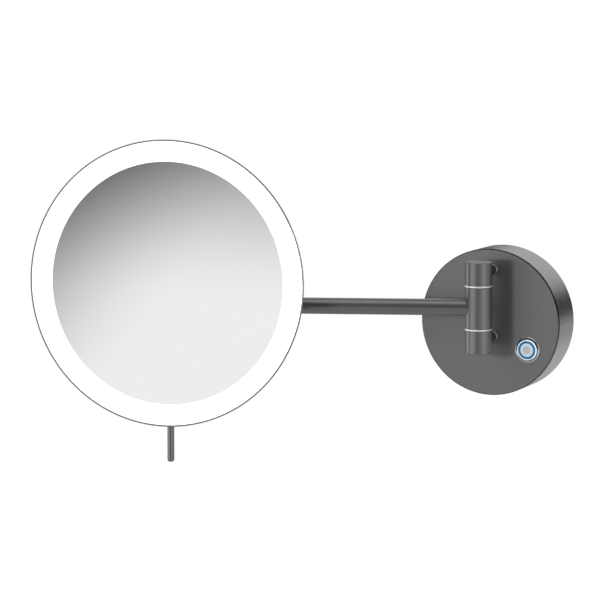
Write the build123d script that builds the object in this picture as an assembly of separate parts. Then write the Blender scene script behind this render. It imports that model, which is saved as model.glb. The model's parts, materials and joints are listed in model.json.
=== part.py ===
from build123d import *
import os
from math import asin, cos, degrees, radians, sin, sqrt, tan

os.makedirs("parts", exist_ok=True)

# Frame: the origin is the centre of the wall rose's back, on the wall.
# X runs to the right along the wall, Y into the wall and Z up. Sizes are in millimetres.

# Wall rose
rose_diameter = 104.7
rose_depth = 29.8
rose_wall = 1.5
face_thickness = 2.5
face_lip = 0.5
face_edge = 0.6
face_edge_drop = 0.25
seam_width = 1.0
seam_depth = 1.0
wall_plate_thickness = 2.0
wall_screw_spacing = 60.0
wall_screw_hole = 5.5
cable_bore = 8.0

# Upright hinge in front of the rose
barrel_diameter = 19.0
hinge_standoff = 25.4
hinge_offset = 2.0
arm_height = 13.8
middle_knuckle_length = 29.2
end_knuckle_length = 16.3
ring_thickness = 1.2
ring_overhang = 0.25
post_diameter = 7.0
post_collar = 8.6
post_collar_height = 2.5
backing_thickness = 2.0

# Arm
arm_diameter = 11.6
arm_wall = 1.5
arm_reach = 211.15
arm_angle = 17.67
swing_in = 17.5
swing_out = 162.0

# Swivel at the arm's end
sleeve_cover = 2.2
sleeve_drop = 12.0
stem_diameter = 8.0
tilt_barrel_diameter = 14.0
tilt_barrel_width = 16.0
tilt_screw_diameter = 6.0
head_turn = 10.4
swivel_left = 165.0
swivel_right = 12.0

# Mirror head
head_diameter = 201.0
rim_thickness = 1.0
rim_land = 0.8
bevel = 14.0
lit_ring_width = 14.4
lit_ring_thickness = 2.75
lit_ring_recess = 0.2
glass_lap = 1.4
glass_thickness = 3.0
mirror_curve_radius = 700.0
shell_thickness = 1.0
lead_space = 3.6
tilt_offset = 19.5
tilt_at_rest = 2.3
tilt_travel = 22.0
yoke_plate_thickness = 2.5
led_count = 60
pull_pin_diameter = 4.9
pull_pin_length = 26.4
pull_pin_setback = 11.9

# Push button on the rose
button_diameter = 18.4
button_travel = 1.2
button_proud = 2.4
bezel_height = 1.6
bezel_slope = 18.0
bezel_round = 0.9

# Wiring
lead_diameter = 2.2

# Clearances
fit_gap = 0.02
run_gap = 0.05
pass_gap = 0.3
edge_break = 0.4

BASE = (Align.CENTER, Align.CENTER, Align.MIN)


def ring(outer, inner, low, high):
    """Round tube along Z between two heights; a plain disc when the inner radius is 0."""
    tube = Cylinder(outer, high - low, align=BASE)
    if inner > 0:
        tube -= Cylinder(inner, high - low, align=BASE)
    return Pos(0, 0, low) * tube


def rod(start, end, radius):
    """Round bar from one point to another."""
    line = Vector(*end) - Vector(*start)
    return Plane(origin=start, z_dir=line).location * Cylinder(radius, line.length, align=BASE)


def lathe(points):
    """Turned piece from a closed outline of (radius, height) points."""
    outline = Face(Wire.make_polygon([(r, 0, z) for r, z in points], close=True))
    return revolve(outline, Axis.Z, 360)


def turned_barrel(radius, low, high):
    """Solid upright cylinder with broken edges."""
    return lathe([
        (0, low),
        (radius - edge_break, low),
        (radius, low + edge_break),
        (radius, high - edge_break),
        (radius - edge_break, high),
        (0, high),
    ])


def arc_window(outer, low, high, start, sweep):
    """Cutter for a window that runs part of the way round a tube."""
    corners = [(fit_gap, 0, low), (outer, 0, low), (outer, 0, high), (fit_gap, 0, high)]
    cut = Face(Wire.make_polygon(corners, close=True))
    return Rot(0, 0, start) * revolve(cut, Axis.Z, sweep)


def polar_box(inner, outer, width, low, high, angle):
    """Block that lies along a radius."""
    block = Box(outer - inner, width, high - low, align=(Align.MIN, Align.CENTER, Align.MIN))
    return Rot(0, 0, angle) * Pos(inner, 0, low) * block


def disc_spring(inner, outer, low, high, thickness):
    """Conical spring washer, wide end up."""
    return lathe([(inner, low), (outer, high - thickness), (outer, high), (inner, low + thickness)])


def lead(points, bend):
    """Round lead along a bent route."""
    route = FilletPolyline(*points, radius=bend)
    section = Plane(origin=route @ 0, z_dir=route % 0) * Circle(lead_diameter / 2)
    return sweep(section, path=route)


def hexagon(flats, low, high):
    """Six-sided bar along Z."""
    return Pos(0, 0, low) * extrude(RegularPolygon(flats / 2, 6, major_radius=False), amount=high - low)


def save(name, shape):
    export_step(shape, "parts/" + name + ".step")


# Placing: each group is drawn in its own frame and then put where it sits at rest.
# Rose and head frames have x to the right, y up and z towards the viewer.
lead_r = lead_diameter / 2
rose_r = rose_diameter / 2
barrel_r = barrel_diameter / 2
arm_r = arm_diameter / 2
stem_r = stem_diameter / 2
tilt_r = tilt_barrel_diameter / 2
hinge_out = rose_depth + hinge_standoff
rose_place = Location((0, 0, 0), (90, 0, 0))
hinge_place = Location((hinge_offset, -hinge_out, arm_height))
arm_place = hinge_place * Location((0, 0, 0), (0, 0, 180 + arm_angle))
swivel_point = (
    hinge_offset - arm_reach * cos(radians(arm_angle)),
    -hinge_out - arm_reach * sin(radians(arm_angle)),
    arm_height,
)
swivel_place = Location(swivel_point, (0, 0, head_turn))
neck_drop = tilt_r + 1.45
sleeve_rise = arm_r + sleeve_cover
head_rise = sleeve_rise + run_gap + ring_thickness + neck_drop
head_place = swivel_place * Location((0, 0, head_rise), (90 - tilt_at_rest, 0, 0))


# Rose shell
drum_inner = rose_r - rose_wall
face_front = rose_depth
face_back = face_front - face_thickness
lip_back = face_front - face_lip
plate_r = drum_inner - pass_gap
set_screw_r = 2.0
set_screw_key = 2.0
lug_width = 12.0
lug_reach = 6.5
lug_rise = 5.0
set_screw_height = wall_plate_thickness + lug_rise
lug_outer = sqrt(plate_r ** 2 - (lug_width / 2) ** 2) - pass_gap
lug_inner = lug_outer - lug_reach
hook_angles = (60, 120)
hook_sheet = 1.5
hook_width = 10.0
hook_length = 5.0
catch_width = 8.0
catch_height = 2.8
hook_inner = plate_r - lug_reach
hook_low = wall_plate_thickness + catch_height + 0.8 * hook_sheet
hook_top = hook_low + hook_sheet
grommet_wall = 2.0
grommet_lip = 1.5
grommet_r = cable_bore / 2 + grommet_wall
grommet_x = 0.70 * drum_inner
grommet_y = 0.16 * drum_inner

wall_plate = ring(plate_r, 0, 0, wall_plate_thickness)
for side in (1, -1):
    wall_hole = ring(wall_screw_hole / 2, 0, 0, wall_plate_thickness)
    wall_plate -= Pos(0, side * wall_screw_spacing / 2, 0) * wall_hole
wall_plate -= Pos(grommet_x, grommet_y, 0) * ring(grommet_r, 0, 0, wall_plate_thickness)
wall_plate += polar_box(lug_inner, lug_outer, lug_width, 0, set_screw_height + lug_rise, -90)
wall_plate -= rod((0, -lug_inner, set_screw_height), (0, -rose_r, set_screw_height), set_screw_r + fit_gap)
for angle in hook_angles:
    wall_plate += polar_box(hook_inner, hook_inner + hook_sheet, hook_width, 0, hook_top, angle)
    wall_plate += polar_box(hook_inner, hook_inner + hook_length, hook_width, hook_low, hook_top, angle)
save("wall_plate", rose_place * wall_plate)

rose_drum = ring(rose_r, drum_inner, 0, lip_back)
rose_drum -= ring(rose_r + 1, rose_r - seam_depth, lip_back - seam_width, lip_back)
for angle in hook_angles:
    catch = (hook_inner + 2 * hook_sheet, drum_inner + rose_wall / 2, catch_width, hook_low - catch_height)
    rose_drum += polar_box(*catch, hook_low - run_gap, angle)
rose_drum -= rod((0, -lug_inner, set_screw_height), (0, -rose_r - 1, set_screw_height), set_screw_r + fit_gap)
save("rose_drum", rose_place * rose_drum)

screw_end = rose_r - edge_break
cover_set_screw = rod((0, -lug_inner - 1, set_screw_height), (0, -screw_end, set_screw_height), set_screw_r)
key_socket = Rot(-90, 0, 0) * hexagon(set_screw_key, 0, 1.25 * set_screw_key)
cover_set_screw -= Pos(0, -screw_end, set_screw_height) * key_socket
save("cover_set_screw", rose_place * cover_set_screw)

mains_grommet = lathe([
    (cable_bore / 2, 0),
    (grommet_r - fit_gap, 0),
    (grommet_r - fit_gap, wall_plate_thickness),
    (grommet_r + grommet_lip, wall_plate_thickness),
    (grommet_r + grommet_lip, wall_plate_thickness + grommet_lip),
    (cable_bore / 2, wall_plate_thickness + grommet_lip),
])
save("mains_grommet", rose_place * Pos(grommet_x, grommet_y, 0) * mains_grommet)

# Hinge stack, heights measured from the arm's axis
middle_half = middle_knuckle_length / 2
ring_low = middle_half + run_gap
end_low = ring_low + ring_thickness
end_high = end_low + end_knuckle_length
post_level = (end_low + end_high) / 2
pin_r = 0.53 * barrel_r
pin_head_r = 0.74 * barrel_r
pin_head_height = 2.2
pin_bore_r = 0.27 * barrel_r
bush_r = 0.69 * barrel_r
well_r = 0.77 * barrel_r
well_depth = 4.4
spring_height = 1.0
spigot_r = 0.32 * barrel_r
post_r = post_diameter / 2
tail_r = post_r - 0.5
dome_r = ((post_collar / 2) ** 2 + post_collar_height ** 2) / (2 * post_collar_height)
nut_height = 5.0
nut_flange = 1.2
nut_grip = 2.5
backing_border = 6.5
spring_sheet = 0.6
tail_length = face_thickness + backing_thickness + nut_height + 1.5
lead_hole_r = lead_r + 2 * pass_gap
button_offset = 0.654 * rose_r
button_angle = -32.1
button_x = button_offset * cos(radians(button_angle))
button_y = button_offset * sin(radians(button_angle))
flange_r = button_diameter / 2
thread_r = 0.935 * flange_r
bezel_bore = 0.79 * flange_r

rose_face = lathe([
    (0, face_back),
    (drum_inner - fit_gap, face_back),
    (drum_inner - fit_gap, lip_back),
    (rose_r, lip_back),
    (rose_r, face_front - face_edge_drop),
    (rose_r - face_edge, face_front),
    (0, face_front),
])
backing_plate = Pos(hinge_offset, arm_height, face_back) * Box(
    post_diameter + 2 * backing_border,
    2 * post_level + post_diameter + 1.4 * backing_border,
    backing_thickness,
    align=(Align.CENTER, Align.CENTER, Align.MAX),
)
for side in (1, -1):
    tail_place = Pos(hinge_offset, arm_height + side * post_level, 0)
    tail_hole = tail_place * ring(tail_r + fit_gap, 0, 0, rose_depth)
    rose_face -= tail_hole
    backing_plate -= tail_hole
rose_face -= Pos(button_x, button_y, 0) * ring(thread_r + fit_gap, 0, 0, rose_depth)
button_nut_wall = 2.6
nut_clear_r = thread_r + button_nut_wall
backing_plate -= Pos(button_x, button_y, 0) * ring(nut_clear_r + pass_gap, 0, 0, rose_depth)
backing_plate &= ring(drum_inner - pass_gap, 0, 0, rose_depth)
save("rose_face", rose_place * rose_face)
save("hinge_backing_plate", rose_place * backing_plate)

upper_knuckle = turned_barrel(barrel_r, end_low, end_high)
upper_knuckle -= ring(pin_r + fit_gap, 0, end_low, end_high)
upper_knuckle -= ring(pin_head_r + fit_gap, 0, end_high - pin_head_height, end_high)
upper_knuckle -= rod((0, 0, post_level), (0, barrel_diameter, post_level), spigot_r + fit_gap)
save("upper_hinge_knuckle", hinge_place * upper_knuckle)

lower_knuckle = turned_barrel(barrel_r, -end_high, -end_low)
lower_knuckle -= ring(pin_r + fit_gap, 0, -end_high, -end_low)
lower_knuckle -= ring(well_r, 0, -end_high, -end_high + well_depth)
lower_knuckle -= rod((0, 0, -post_level), (0, barrel_diameter, -post_level), spigot_r + fit_gap)
save("lower_hinge_knuckle", hinge_place * lower_knuckle)

pin_bottom = -end_high + edge_break
hinge_pin = ring(pin_r, 0, pin_bottom, end_high)
hinge_pin += ring(pin_head_r, 0, end_high - pin_head_height, end_high)
hinge_pin -= ring(pin_bore_r, 0, pin_bottom, middle_half / 2)
hinge_pin -= rod((0, 0, -post_level), (0, barrel_r, -post_level), lead_hole_r)
window_rim = 30
hinge_pin -= arc_window(
    barrel_r,
    -lead_diameter - 1,
    lead_diameter,
    180 + arm_angle - swing_in - window_rim,
    swing_in + swing_out + 2 * window_rim,
)
save("hinge_pin", hinge_place * hinge_pin)

spring_top = -end_high + well_depth
spring_low = spring_top - spring_height
hinge_spring = disc_spring(pin_r + pass_gap, well_r - pass_gap, spring_low, spring_top, spring_sheet)
save("hinge_disc_spring", hinge_place * hinge_spring)
ring_nut = ring(well_r - pass_gap, pin_r + fit_gap, pin_bottom, spring_low)
wrench_hole = ring(spring_sheet, 0, pin_bottom, pin_bottom + spring_height)
for side in (1, -1):
    ring_nut -= Pos(side * (well_r + pin_r) / 2, 0, 0) * wrench_hole
save("hinge_ring_nut", hinge_place * ring_nut)

upper_ring = ring(barrel_r + ring_overhang, pin_r + fit_gap, ring_low, end_low)
lower_ring = ring(barrel_r + ring_overhang, pin_r + fit_gap, -end_low, -ring_low)
save("hinge_rings", hinge_place * (upper_ring + lower_ring))


def hinge_post(level):
    """Turned post between the rose's face and an end knuckle, with a domed collar and a threaded tail."""
    post = rod((0, 0, level), (0, hinge_standoff, level), post_r)
    dome = Pos(0, hinge_standoff + dome_r - post_collar_height, level) * Sphere(dome_r)
    post += dome & rod((0, 0, level), (0, hinge_standoff, level), post_collar / 2)
    post -= ring(barrel_r + fit_gap, 0, level - post_diameter, level + post_diameter)
    post += rod((0, pin_r + pass_gap, level), (0, barrel_r + 1, level), spigot_r)
    post += rod((0, hinge_standoff, level), (0, hinge_standoff + tail_length, level), tail_r)
    return post


lower_post = hinge_post(-post_level)
lower_post -= rod((0, 0, -post_level), (0, hinge_standoff + tail_length, -post_level), lead_hole_r)
save("upper_hinge_post", hinge_place * hinge_post(post_level))
save("lower_hinge_post", hinge_place * lower_post)

nut_top = face_back - backing_thickness
post_nut = hexagon(2 * (tail_r + nut_grip), nut_top - nut_height, nut_top - nut_flange)
post_nut += ring(tail_r + 1.5 * nut_grip, 0, nut_top - nut_flange, nut_top)
post_nut -= ring(tail_r + fit_gap, 0, nut_top - nut_height, nut_top)
post_nuts = Pos(hinge_offset, arm_height + post_level, 0) * post_nut
post_nuts += Pos(hinge_offset, arm_height - post_level, 0) * post_nut
save("hinge_post_nuts", rose_place * post_nuts)

# Push button, drawn on its own axis with heights from the wall
button_place = rose_place * Location((button_x, button_y, 0))
barrel_back = face_front - 0.43 * rose_depth
well_floor = barrel_back - 0.05 * rose_depth
switch_back = barrel_back - 0.24 * rose_depth
tab_back = switch_back - 0.13 * rose_depth
cap_top = face_front + button_proud
cap_r = bezel_bore - pass_gap
light_outer = 0.71 * flange_r
light_inner = 0.46 * flange_r
plunger_top = cap_top - 0.35 * flange_r
plunger_back = plunger_top - 0.38 * flange_r
spring_r = 0.36 * flange_r
button_nut_height = 3.0
switch_step = 2.0
tab_width = 2.8
tab_sheet = 0.6

bezel_top = face_front + bezel_height
bezel_edge = bezel_top - (flange_r - bezel_bore) * tan(radians(bezel_slope))
button_bezel = lathe([
    (bezel_bore, barrel_back),
    (thread_r, barrel_back),
    (thread_r, face_front),
    (flange_r, face_front),
    (flange_r, bezel_edge),
    (bezel_bore, bezel_top),
])
bezel_rim = button_bezel.edges().filter_by(GeomType.CIRCLE).sort_by(Axis.Z)
button_bezel = fillet(bezel_rim[-2], bezel_round)
save("button_bezel", button_place * button_bezel)
nut_back = face_back - button_nut_height
button_nut = ring(nut_clear_r, thread_r + fit_gap, nut_back, face_back)
notch_r = nut_clear_r - 0.3 * button_nut_wall
for turn in range(6):
    button_nut -= polar_box(notch_r, 2 * nut_clear_r, button_nut_wall, nut_back, face_back, 60 * turn)
save("button_nut", button_place * button_nut)

switch_top = barrel_back + switch_step
switch_body = ring(thread_r, 0, switch_back, barrel_back)
switch_body += ring(bezel_bore - fit_gap, 0, barrel_back, switch_top)
switch_body -= ring(1.3 * spring_r, 0, well_floor, switch_top)
save("switch_body", button_place * switch_body)
tab_spread = 0.4 * flange_r
switch_tabs = Part()
for side in (1, -1):
    tab = Box(tab_width, tab_sheet, switch_back - tab_back, align=(Align.CENTER, Align.CENTER, Align.MAX))
    switch_tabs += Pos(0, side * tab_spread, switch_back) * tab
save("switch_tabs", button_place * switch_tabs)

cap_rim = ring(cap_r, light_outer + fit_gap, plunger_back, cap_top - edge_break / 2)
cap_rim = fillet(cap_rim.edges().group_by(Axis.Z)[-1], min(edge_break, (cap_r - light_outer) / 3))
save("button_cap_rim", button_place * cap_rim)
light_ring = ring(light_outer, light_inner + fit_gap, plunger_top, cap_top - edge_break)
save("button_light_ring", button_place * light_ring)
cap_centre = ring(light_inner, 0, plunger_top, cap_top - edge_break / 2)
cap_centre = fillet(cap_centre.edges().group_by(Axis.Z)[-1], edge_break / 2)
save("button_cap_centre", button_place * cap_centre)
stop_height = well_floor + button_travel + pass_gap
plunger = ring(light_outer, 0, plunger_back, plunger_top)
plunger += ring(0.7 * spring_r, 0, stop_height + button_travel, plunger_back)
save("button_plunger", button_place * plunger)
coil_wire = 0.3
coil_turns = 4
coil_length = plunger_back - stop_height - 2 * coil_wire
coil_path = Pos(0, 0, stop_height + coil_wire) * Helix(coil_length / coil_turns, coil_length, spring_r)
coil_section = Plane(origin=coil_path @ 0, z_dir=coil_path % 0) * Circle(coil_wire)
save("button_spring", button_place * sweep(coil_section, path=coil_path, is_frenet=True))

# Supply and wiring inside the rose
driver_width = 0.5 * rose_r
driver_length = 0.94 * rose_r
driver_x = -0.52 * rose_r
driver_right = driver_x + driver_width / 2
driver_height = 0.5 * rose_depth
driver_low = wall_plate_thickness
small_screw_r = 1.5
small_head_r = 2.75
small_head_height = 1.6
driver = Pos(driver_x, 0, driver_low) * Box(driver_width, driver_length, driver_height, align=BASE)
ear_length = 0.13 * rose_r
ear_width = 10.0
ear_height = 2.0
driver_corner = 2.0
ear_middle = driver_length / 2 + ear_length / 2
driver = fillet(driver.edges().filter_by(Axis.Z), driver_corner)
driver_screws = Part()
for side in (1, -1):
    ear_place = Pos(driver_x, side * ear_middle, driver_low)
    ear = Box(ear_width, ear_length + ear_height, ear_height, align=BASE)
    driver += Pos(0, -side * ear_height / 2, 0) * ear_place * ear
    driver -= ear_place * ring(small_screw_r + fit_gap, 0, 0, ear_height)
    driver_screws += ear_place * ring(small_screw_r, 0, 0, ear_height)
    driver_screws += ear_place * ring(small_head_r, 0, ear_height, ear_height + small_head_height)
save("led_driver", rose_place * driver)
save("driver_screws", rose_place * driver_screws)

block_x = 0.38 * rose_r
block_y = 0.16 * rose_r
block_width = 12.0
block_length = 30.0
block_left = block_x - block_width / 2
block_right = block_x + block_width / 2
way_pitch = 0.32 * block_length
way_screw_r = 1.8
wire_r = 0.8
wire_level = wall_plate_thickness + block_width / 2
block_top = wall_plate_thickness + block_width
block = Box(block_width, block_length, block_width, align=BASE)
terminal_block = Pos(block_x, block_y, wall_plate_thickness) * block
input_wires = Part()
for step in (-1, 0, 1):
    way_y = block_y + step * way_pitch
    way_ends = (block_left, way_y, wire_level), (block_right, way_y, wire_level)
    terminal_block -= rod(*way_ends, wire_r + pass_gap)
    terminal_block -= Pos(block_x, way_y, 0) * ring(way_screw_r, 0, wire_level + 2 * wire_r, block_top)
for step in (-1, 0):
    way_y = block_y + step * way_pitch
    wire_ends = (driver_right, way_y, wire_level), (block_left + 2 * wire_r, way_y, wire_level)
    input_wires += rod(*wire_ends, wire_r)
save("terminal_block", rose_place * terminal_block)
save("driver_input_wires", rose_place * input_wires)

switch_level = (switch_back + tab_back) / 2 - tab_sheet
tab_left = button_x - tab_width / 2
switch_wires = Part()
for side in (1, -1):
    way_y = button_y + side * tab_spread
    switch_wires += rod((driver_right, way_y, switch_level), (tab_left, way_y, switch_level), wire_r)
save("switch_wires", rose_place * switch_wires)

post_y = arm_height - post_level
lead_level = wall_plate_thickness + 0.24 * rose_depth
lead_join = 2.7 * lead_diameter
elbow = lead_diameter * 0.95
rose_lead = lead(
    [
        (driver_right, post_y, lead_level),
        (hinge_offset, post_y, lead_level),
        (hinge_offset, post_y, hinge_out),
        (hinge_offset, arm_height - lead_join, hinge_out),
    ],
    elbow,
)
save("rose_lead", rose_place * rose_lead)

# Arm, drawn along x from the hinge's axis
sleeve_r = arm_r + 2.4
stem_bush_r = stem_r + 1.2
knuckle_bush = middle_half - arm_r - 1
sleeve_well_r = stem_r + 2.3
sleeve_well = 4.8
sleeve_floor = -sleeve_drop + sleeve_well
tube_start = bush_r + pass_gap
tube_end = arm_reach - stem_bush_r - pass_gap

arm_knuckle = turned_barrel(barrel_r, -middle_half, middle_half)
arm_knuckle -= ring(bush_r, 0, -middle_half, middle_half)
arm_knuckle -= rod((0, 0, 0), (barrel_diameter, 0, 0), arm_r + fit_gap)
save("arm_knuckle", arm_place * arm_knuckle)
hinge_bushes = ring(bush_r - fit_gap, pin_r + run_gap, middle_half - knuckle_bush, middle_half)
hinge_bushes += ring(bush_r - fit_gap, pin_r + run_gap, -middle_half, -middle_half + knuckle_bush)
save("arm_hinge_bushes", arm_place * hinge_bushes)
arm_tube = rod((tube_start, 0, 0), (tube_end, 0, 0), arm_r)
arm_tube -= rod((tube_start, 0, 0), (tube_end, 0, 0), arm_r - arm_wall)
save("arm_tube", arm_place * arm_tube)

end_sleeve = turned_barrel(sleeve_r, -sleeve_drop, sleeve_rise)
end_sleeve -= ring(stem_bush_r, 0, -sleeve_drop, sleeve_rise)
end_sleeve -= ring(sleeve_well_r + pass_gap, 0, -sleeve_drop, sleeve_floor)
end_sleeve -= rod((0, 0, 0), (-2 * sleeve_r, 0, 0), arm_r + fit_gap)
save("arm_end_sleeve", arm_place * Pos(arm_reach, 0, 0) * end_sleeve)
window_half = lead_diameter + 0.8
sleeve_bushes = ring(stem_bush_r - fit_gap, stem_r + run_gap, window_half, sleeve_rise)
sleeve_bushes += ring(stem_bush_r - fit_gap, stem_r + run_gap, sleeve_floor, -window_half)
save("arm_end_bushes", arm_place * Pos(arm_reach, 0, 0) * sleeve_bushes)
lead_meet = lead_join - run_gap
arm_lead = lead([(0, 0, -lead_meet), (0, 0, 0), (arm_reach, 0, 0), (arm_reach, 0, lead_meet)], elbow)
save("arm_lead", arm_place * arm_lead)

# Swivel, drawn about the upright axis at the arm's end; the mirror is towards -y
stem_bore_r = lead_r + 1
neck_low = head_rise - neck_drop
neck_r = sleeve_r - edge_break
tilt_bush_r = tilt_screw_diameter / 2 + 1.1
tilt_half = tilt_barrel_width / 2
stem_top = head_rise - tilt_bush_r - 0.2

swivel_stem = ring(stem_r, stem_bore_r, -sleeve_drop + edge_break, stem_top)
# The window leaves the arm's lead free at both ends of the swivel's travel.
stem_window_rim = degrees(asin((lead_r + pass_gap) / stem_bore_r))
swivel_stem -= arc_window(
    sleeve_r,
    -lead_diameter,
    lead_diameter + 1,
    arm_angle - head_turn - swivel_right - stem_window_rim,
    swivel_left + swivel_right + 2 * stem_window_rim,
)
save("swivel_stem", swivel_place * swivel_stem)
swivel_ring = ring(sleeve_r + ring_overhang, stem_r + fit_gap, sleeve_rise + run_gap, neck_low)
save("swivel_ring", swivel_place * swivel_ring)
swivel_spring_top = sleeve_floor - run_gap
swivel_spring_low = swivel_spring_top - spring_height
spring_heights = (swivel_spring_low, swivel_spring_top)
swivel_spring = disc_spring(stem_r + pass_gap, sleeve_well_r, *spring_heights, spring_sheet)
save("swivel_disc_spring", swivel_place * swivel_spring)
swivel_nut = hexagon(2 * sleeve_well_r * cos(radians(30)), -sleeve_drop + spring_sheet, swivel_spring_low)
swivel_nut -= ring(stem_r + fit_gap, 0, -sleeve_drop, swivel_spring_low)
save("swivel_nut", swivel_place * swivel_nut)

tilt_knuckle = rod((-tilt_half, 0, head_rise), (tilt_half, 0, head_rise), tilt_r)
tilt_knuckle += ring(min(neck_r, tilt_half - edge_break), 0, neck_low, head_rise - 1)
tilt_knuckle -= rod((-tilt_half, 0, head_rise), (tilt_half, 0, head_rise), tilt_bush_r)
tilt_knuckle -= ring(stem_r + fit_gap, 0, neck_low, stem_top)
tilt_knuckle -= ring(stem_bore_r, 0, stem_top, head_rise)
lead_slot = Box(
    lead_diameter + 4 * pass_gap,
    2 * tilt_r,
    2 * (tilt_r * sin(radians(tilt_travel + tilt_at_rest)) + lead_diameter),
    align=(Align.CENTER, Align.MAX, Align.CENTER),
)
tilt_knuckle -= Pos(0, 0, head_rise) * lead_slot
save("tilt_knuckle", swivel_place * tilt_knuckle)

tilt_screw_r = tilt_screw_diameter / 2
flange_sheet = 0.8
bush_start = 0.45 * tilt_half
bush_end = tilt_half + flange_sheet
tilt_bushes = Part()
for side in (1, -1):
    bush = rod((side * bush_start, 0, head_rise), (side * tilt_half, 0, head_rise), tilt_bush_r - fit_gap)
    bush += rod((side * tilt_half, 0, head_rise), (side * bush_end, 0, head_rise), tilt_r - edge_break)
    bush -= rod((side * bush_start, 0, head_rise), (side * bush_end, 0, head_rise), tilt_screw_r + run_gap)
    tilt_bushes += bush
save("tilt_bushes", swivel_place * tilt_bushes)
# The lead stops short of the head's own lead at full tilt.
full_tilt = radians(tilt_travel + tilt_at_rest)
lead_stop = lead_r * (cos(full_tilt) + (1 + sin(full_tilt)) * sin(full_tilt) / cos(full_tilt)) + run_gap
swivel_lead = rod((0, 0, lead_join), (0, 0, head_rise - lead_stop), lead_r)
save("swivel_lead", swivel_place * swivel_lead)

# Mirror head, drawn from the tilt axis with z towards the viewer
head_r = head_diameter / 2
opening_r = head_r - rim_thickness - lit_ring_width
glass_r = opening_r + glass_lap
glass_setback = lit_ring_recess + lit_ring_thickness + run_gap
sag = mirror_curve_radius - sqrt(mirror_curve_radius ** 2 - glass_r ** 2)
carrier_sheet = 1.2
glass_room = 1.2
carrier_depth = glass_setback + sag + glass_thickness + glass_room + carrier_sheet
head_thickness = carrier_depth + lead_space + shell_thickness
front = tilt_offset + head_thickness
shell_back = tilt_offset
shell_floor = shell_back + shell_thickness
carrier_back = front - carrier_depth
yoke_r = 17.0
flat_r = 0.6 * head_r
bevel_back = front - rim_land - bevel

outer_line = [
    (head_r, front),
    (head_r, front - rim_land),
    (head_r - bevel, bevel_back),
    (flat_r, shell_back),
]
envelope = lathe(outer_line + [(0, shell_back), (0, front)])
bend_round = 0.7 * bevel
envelope = fillet(envelope.edges().filter_by(GeomType.CIRCLE).sort_by(Axis.Z)[1], bend_round)
# The inside follows the outside one sheet thickness in: the bevel runs at 45 degrees.
slope_step = shell_thickness * sqrt(2)
rise = (bevel_back - shell_back) / (head_r - bevel - flat_r)
floor_step = shell_thickness * sqrt(1 + rise ** 2)
bevel_line = head_r - slope_step - (front - rim_land)
inner_rim = head_r - rim_thickness
inner_corner_r = (bevel_line + shell_back + floor_step - rise * flat_r) / (1 - rise)
inner_corner_z = inner_corner_r - bevel_line
inner_flat_r = flat_r + (shell_thickness - floor_step) / rise
hollow = lathe([
    (0, shell_floor),
    (inner_flat_r, shell_floor),
    (inner_corner_r, inner_corner_z),
    (inner_rim, inner_rim - bevel_line),
    (inner_rim, front + 1),
    (0, front + 1),
])
hollow_bend = hollow.edges().filter_by(GeomType.CIRCLE).sort_by(Axis.Z)[1]
hollow = fillet(hollow_bend, bend_round - shell_thickness)
back_shell = envelope - hollow
lead_port_r = lead_r + 1.4
back_shell -= ring(lead_port_r, 0, shell_back, shell_floor)
yoke_holes = [(0.35 * yoke_r * a, 0.7 * yoke_r * b) for a in (1, -1) for b in (1, -1)]
boss_ring = 0.52 * head_r
boss_angles = (30, 150, 270)
boss_places = [Rot(0, 0, angle) * Pos(boss_ring, 0, 0) for angle in boss_angles]
shell_hole = ring(small_screw_r + fit_gap, 0, shell_back, shell_floor)
for x, y in yoke_holes:
    back_shell -= Pos(x, y, 0) * shell_hole
for place in boss_places:
    back_shell -= place * shell_hole
save("back_shell", head_place * back_shell)

lit_front = front - lit_ring_recess
lit_back = lit_front - lit_ring_thickness
lit_line = bevel_line - run_gap * sqrt(2)
lit_ring = lathe([
    (opening_r, lit_back),
    (lit_line + lit_back, lit_back),
    (inner_rim - run_gap, inner_rim - run_gap - lit_line),
    (inner_rim - run_gap, lit_front),
    (opening_r + edge_break, lit_front),
    (opening_r, lit_front - edge_break),
])
save("lit_ring", head_place * lit_ring)

glass_front = front - glass_setback
curve_centre = glass_front + sqrt(mirror_curve_radius ** 2 - glass_r ** 2)
glass_back = ring(glass_r, 0, glass_front - sag - glass_thickness, glass_front)
glass_back &= Pos(0, 0, curve_centre) * Sphere(mirror_curve_radius + glass_thickness)
mirror_glass = glass_back - Pos(0, 0, curve_centre) * Sphere(mirror_curve_radius)
save("mirror_glass", head_place * mirror_glass)

shelf_drop = 2.2
shelf_top = glass_front - glass_thickness - shelf_drop
shelf_sheet = 1.4
shelf_r = bevel_line + shelf_top - shelf_sheet - pass_gap
board_sheet = 1.0
chip_width = 2.0
chip_length = 2.8
chip_height = 0.7
board_inner = glass_r + 0.8
board_outer = bevel_line + shelf_top - pass_gap
wall_outer = opening_r - 4.6
wall_inner = wall_outer - 2
gasket_inner = opening_r - 2.4
gasket_outer = glass_r - 0.4
carrier = lathe([
    (0, carrier_back),
    (wall_outer, carrier_back),
    (wall_outer, shelf_top - shelf_sheet),
    (shelf_r, shelf_top - shelf_sheet),
    (shelf_r, shelf_top),
    (gasket_outer, shelf_top),
    (gasket_outer, shelf_top + board_sheet),
    (gasket_inner, shelf_top + board_sheet),
    (gasket_inner, shelf_top),
    (wall_inner, shelf_top),
    (wall_inner, carrier_back + carrier_sheet),
    (0, carrier_back + carrier_sheet),
])
boss_r = 3.5
boss_top = carrier_back + carrier_sheet
screw_hole = ring(small_screw_r + fit_gap, 0, shell_floor, boss_top)
shell_screw = ring(small_screw_r, 0, shell_back, boss_top)
shell_screw += ring(small_head_r, 0, shell_back - small_head_height, shell_back)
shell_screws = Part()
for place in boss_places:
    carrier += place * ring(boss_r, 0, shell_floor, boss_top)
    carrier -= place * screw_hole
    shell_screws += place * shell_screw
lead_turn = 0.66 * head_r
lead_end = opening_r - 2 * pass_gap
lead_run = carrier_back - lead_r - run_gap
lead_front_run = boss_top + lead_r + pass_gap
port = ring(lead_hole_r, 0, shell_floor, front)
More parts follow.
